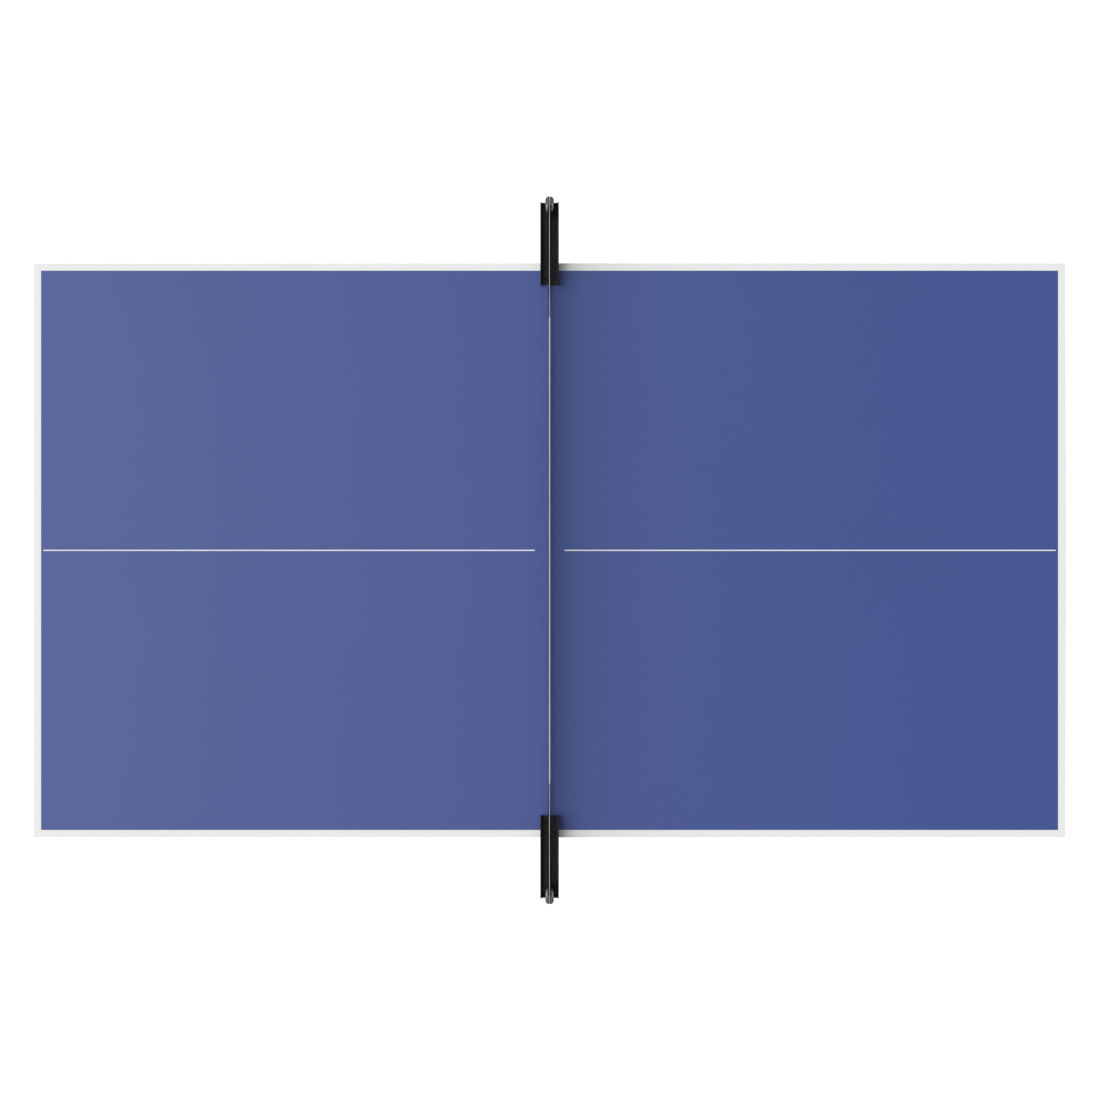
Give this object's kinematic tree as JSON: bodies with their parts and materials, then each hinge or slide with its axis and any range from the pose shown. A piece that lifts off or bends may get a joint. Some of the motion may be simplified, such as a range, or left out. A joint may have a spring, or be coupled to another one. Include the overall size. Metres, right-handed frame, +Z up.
{
  "type": "table tennis table",
  "caption": "Rollaway table tennis table with two folding blue halves, white border and centre line, a net on black side arms, and a caster trolley.",
  "frame": {"origin": "on the floor, below the middle of the net", "axes": "+X along the table's length, +Y across its width (from the front row of legs to the back one), +Z up"},
  "size_m": [2.74, 1.842, 0.9125],
  "materials": {
    "playing_surface": "matte blue lacquer on board, with white painted lines",
    "frame_steel": "dark grey powder coat",
    "black_steel": "black powder coat",
    "zinc": "bright zinc plate",
    "post_steel": "satin chrome tube with a grey cap",
    "tyre": "grey rubber tread on a plastic hub",
    "foot_rubber": "matte black",
    "black_plastic": "fine texture",
    "net_cord": "dark knotted cord",
    "net_tape": "white woven tape"
  },
  "bodies": {
    "trolley": {"cross_tube_left": "frame_steel", "cross_tube_right": "frame_steel", "column_left_front": "frame_steel", "hinge_pin_left_front": "zinc", "column_left_back": "frame_steel", "hinge_pin_left_back": "zinc", "column_right_front": "frame_steel", "hinge_pin_right_front": "zinc", "column_right_back": "frame_steel", "hinge_pin_right_back": "zinc", "base_beam_front": "frame_steel", "net_support_front": "frame_steel", "net_arm_front": "black_steel", "net_post_front": "post_steel", "base_beam_back": "frame_steel", "net_support_back": "frame_steel", "net_arm_back": "black_steel", "net_post_back": "post_steel", "net_mesh": "net_cord", "net_top_tape": "net_tape"},
    "half_left": {"tabletop_left": "playing_surface", "inner_rail_left": "frame_steel", "end_rail_left": "frame_steel", "side_rail_left_front": "frame_steel", "leg_pin_left_front": "zinc", "side_rail_left_back": "frame_steel", "leg_pin_left_back": "zinc"},
    "legs_left": {"leg_left_front": "frame_steel", "leg_left_back": "frame_steel", "leg_crossbar_left": "frame_steel"},
    "links_left": {"link_rod_left_front": "zinc", "link_rod_left_back": "zinc"},
    "hook_left": {"storage_hook_left": "zinc"},
    "foot_left_front": {"levelling_foot_left_front": "foot_rubber"},
    "caster_left_front": {"caster_fork_left_front": "zinc"},
    "wheel_left_front": {"caster_wheel_left_front": "tyre"},
    "brake_left_front": {"brake_lever_left_front": "black_plastic"},
    "foot_left_back": {"levelling_foot_left_back": "foot_rubber"},
    "caster_left_back": {"caster_fork_left_back": "zinc"},
    "wheel_left_back": {"caster_wheel_left_back": "tyre"},
    "half_right": {"tabletop_right": "playing_surface", "inner_rail_right": "frame_steel", "end_rail_right": "frame_steel", "side_rail_right_front": "frame_steel", "leg_pin_right_front": "zinc", "side_rail_right_back": "frame_steel", "leg_pin_right_back": "zinc"},
    "legs_right": {"leg_right_front": "frame_steel", "leg_right_back": "frame_steel", "leg_crossbar_right": "frame_steel"},
    "links_right": {"link_rod_right_front": "zinc", "link_rod_right_back": "zinc"},
    "hook_right": {"storage_hook_right": "zinc"},
    "foot_right_front": {"levelling_foot_right_front": "foot_rubber"},
    "caster_right_front": {"caster_fork_right_front": "zinc"},
    "wheel_right_front": {"caster_wheel_right_front": "tyre"},
    "brake_right_front": {"brake_lever_right_front": "black_plastic"},
    "foot_right_back": {"levelling_foot_right_back": "foot_rubber"},
    "caster_right_back": {"caster_fork_right_back": "zinc"},
    "wheel_right_back": {"caster_wheel_right_back": "tyre"}
  },
  "joints": [
    {"name": "fold_left", "type": "hinge", "parent": "trolley", "child": "half_left", "pos_m": [-0.28, 0, 0.728], "axis": [0, 1, 0], "range_deg": [0, 90]},
    {"name": "leg_swing_left", "type": "hinge", "parent": "half_left", "child": "legs_left", "pos_m": [-1.12, 0, 0.716], "axis": [0, 1, 0], "range_deg": [-90, 0]},
    {"name": "link_swing_left", "type": "hinge", "parent": "trolley", "child": "links_left", "pos_m": [-0.28, 0, 0.578], "axis": [0, 1, 0], "range_deg": [0, 90]},
    {"name": "hook_left_turn", "type": "hinge", "parent": "half_left", "child": "hook_left", "pos_m": [-0.245, -0.757, 0.7207], "axis": [0, 1, 0], "range_deg": [0, 45]},
    {"name": "foot_left_front_level", "type": "slide", "parent": "legs_left", "child": "foot_left_front", "axis": [0, 0, 1], "range_m": [-0.012, 0.015]},
    {"name": "caster_left_front_swivel", "type": "hinge", "parent": "trolley", "child": "caster_left_front", "pos_m": [-0.33, -0.708, 0.12], "axis": [0, 0, 1], "continuous": true},
    {"name": "wheel_left_front_spin", "type": "hinge", "parent": "caster_left_front", "child": "wheel_left_front", "pos_m": [-0.362, -0.708, 0.05], "axis": [0, 1, 0], "continuous": true},
    {"name": "brake_left_front_press", "type": "hinge", "parent": "caster_left_front", "child": "brake_left_front", "pos_m": [-0.362, -0.708, 0.1115], "axis": [0, -1, 0], "range_deg": [0, 8]},
    {"name": "foot_left_back_level", "type": "slide", "parent": "legs_left", "child": "foot_left_back", "axis": [0, 0, 1], "range_m": [-0.012, 0.015]},
    {"name": "caster_left_back_swivel", "type": "hinge", "parent": "trolley", "child": "caster_left_back", "pos_m": [-0.33, 0.708, 0.12], "axis": [0, 0, 1], "continuous": true},
    {"name": "wheel_left_back_spin", "type": "hinge", "parent": "caster_left_back", "child": "wheel_left_back", "pos_m": [-0.362, 0.708, 0.05], "axis": [0, 1, 0], "continuous": true},
    {"name": "fold_right", "type": "hinge", "parent": "trolley", "child": "half_right", "pos_m": [0.28, 0, 0.728], "axis": [0, -1, 0], "range_deg": [0, 90]},
    {"name": "leg_swing_right", "type": "hinge", "parent": "half_right", "child": "legs_right", "pos_m": [1.12, 0, 0.716], "axis": [0, -1, 0], "range_deg": [-90, 0]},
    {"name": "link_swing_right", "type": "hinge", "parent": "trolley", "child": "links_right", "pos_m": [0.28, 0, 0.578], "axis": [0, -1, 0], "range_deg": [0, 90]},
    {"name": "hook_right_turn", "type": "hinge", "parent": "half_right", "child": "hook_right", "pos_m": [0.245, -0.757, 0.7207], "axis": [0, -1, 0], "range_deg": [0, 45]},
    {"name": "foot_right_front_level", "type": "slide", "parent": "legs_right", "child": "foot_right_front", "axis": [0, 0, 1], "range_m": [-0.012, 0.015]},
    {"name": "caster_right_front_swivel", "type": "hinge", "parent": "trolley", "child": "caster_right_front", "pos_m": [0.33, -0.708, 0.12], "axis": [0, 0, 1], "continuous": true},
    {"name": "wheel_right_front_spin", "type": "hinge", "parent": "caster_right_front", "child": "wheel_right_front", "pos_m": [0.362, -0.708, 0.05], "axis": [0, 1, 0], "continuous": true},
    {"name": "brake_right_front_press", "type": "hinge", "parent": "caster_right_front", "child": "brake_right_front", "pos_m": [0.362, -0.708, 0.1115], "axis": [0, 1, 0], "range_deg": [0, 8]},
    {"name": "foot_right_back_level", "type": "slide", "parent": "legs_right", "child": "foot_right_back", "axis": [0, 0, 1], "range_m": [-0.012, 0.015]},
    {"name": "caster_right_back_swivel", "type": "hinge", "parent": "trolley", "child": "caster_right_back", "pos_m": [0.33, 0.708, 0.12], "axis": [0, 0, 1], "continuous": true},
    {"name": "wheel_right_back_spin", "type": "hinge", "parent": "caster_right_back", "child": "wheel_right_back", "pos_m": [0.362, 0.708, 0.05], "axis": [0, 1, 0], "continuous": true}
  ],
  "couplings": [
    {"joint": "leg_swing_left", "follows": "fold_left", "ratio": -1},
    {"joint": "link_swing_left", "follows": "fold_left", "ratio": 1},
    {"joint": "leg_swing_right", "follows": "fold_right", "ratio": -1},
    {"joint": "link_swing_right", "follows": "fold_right", "ratio": 1}
  ]
}
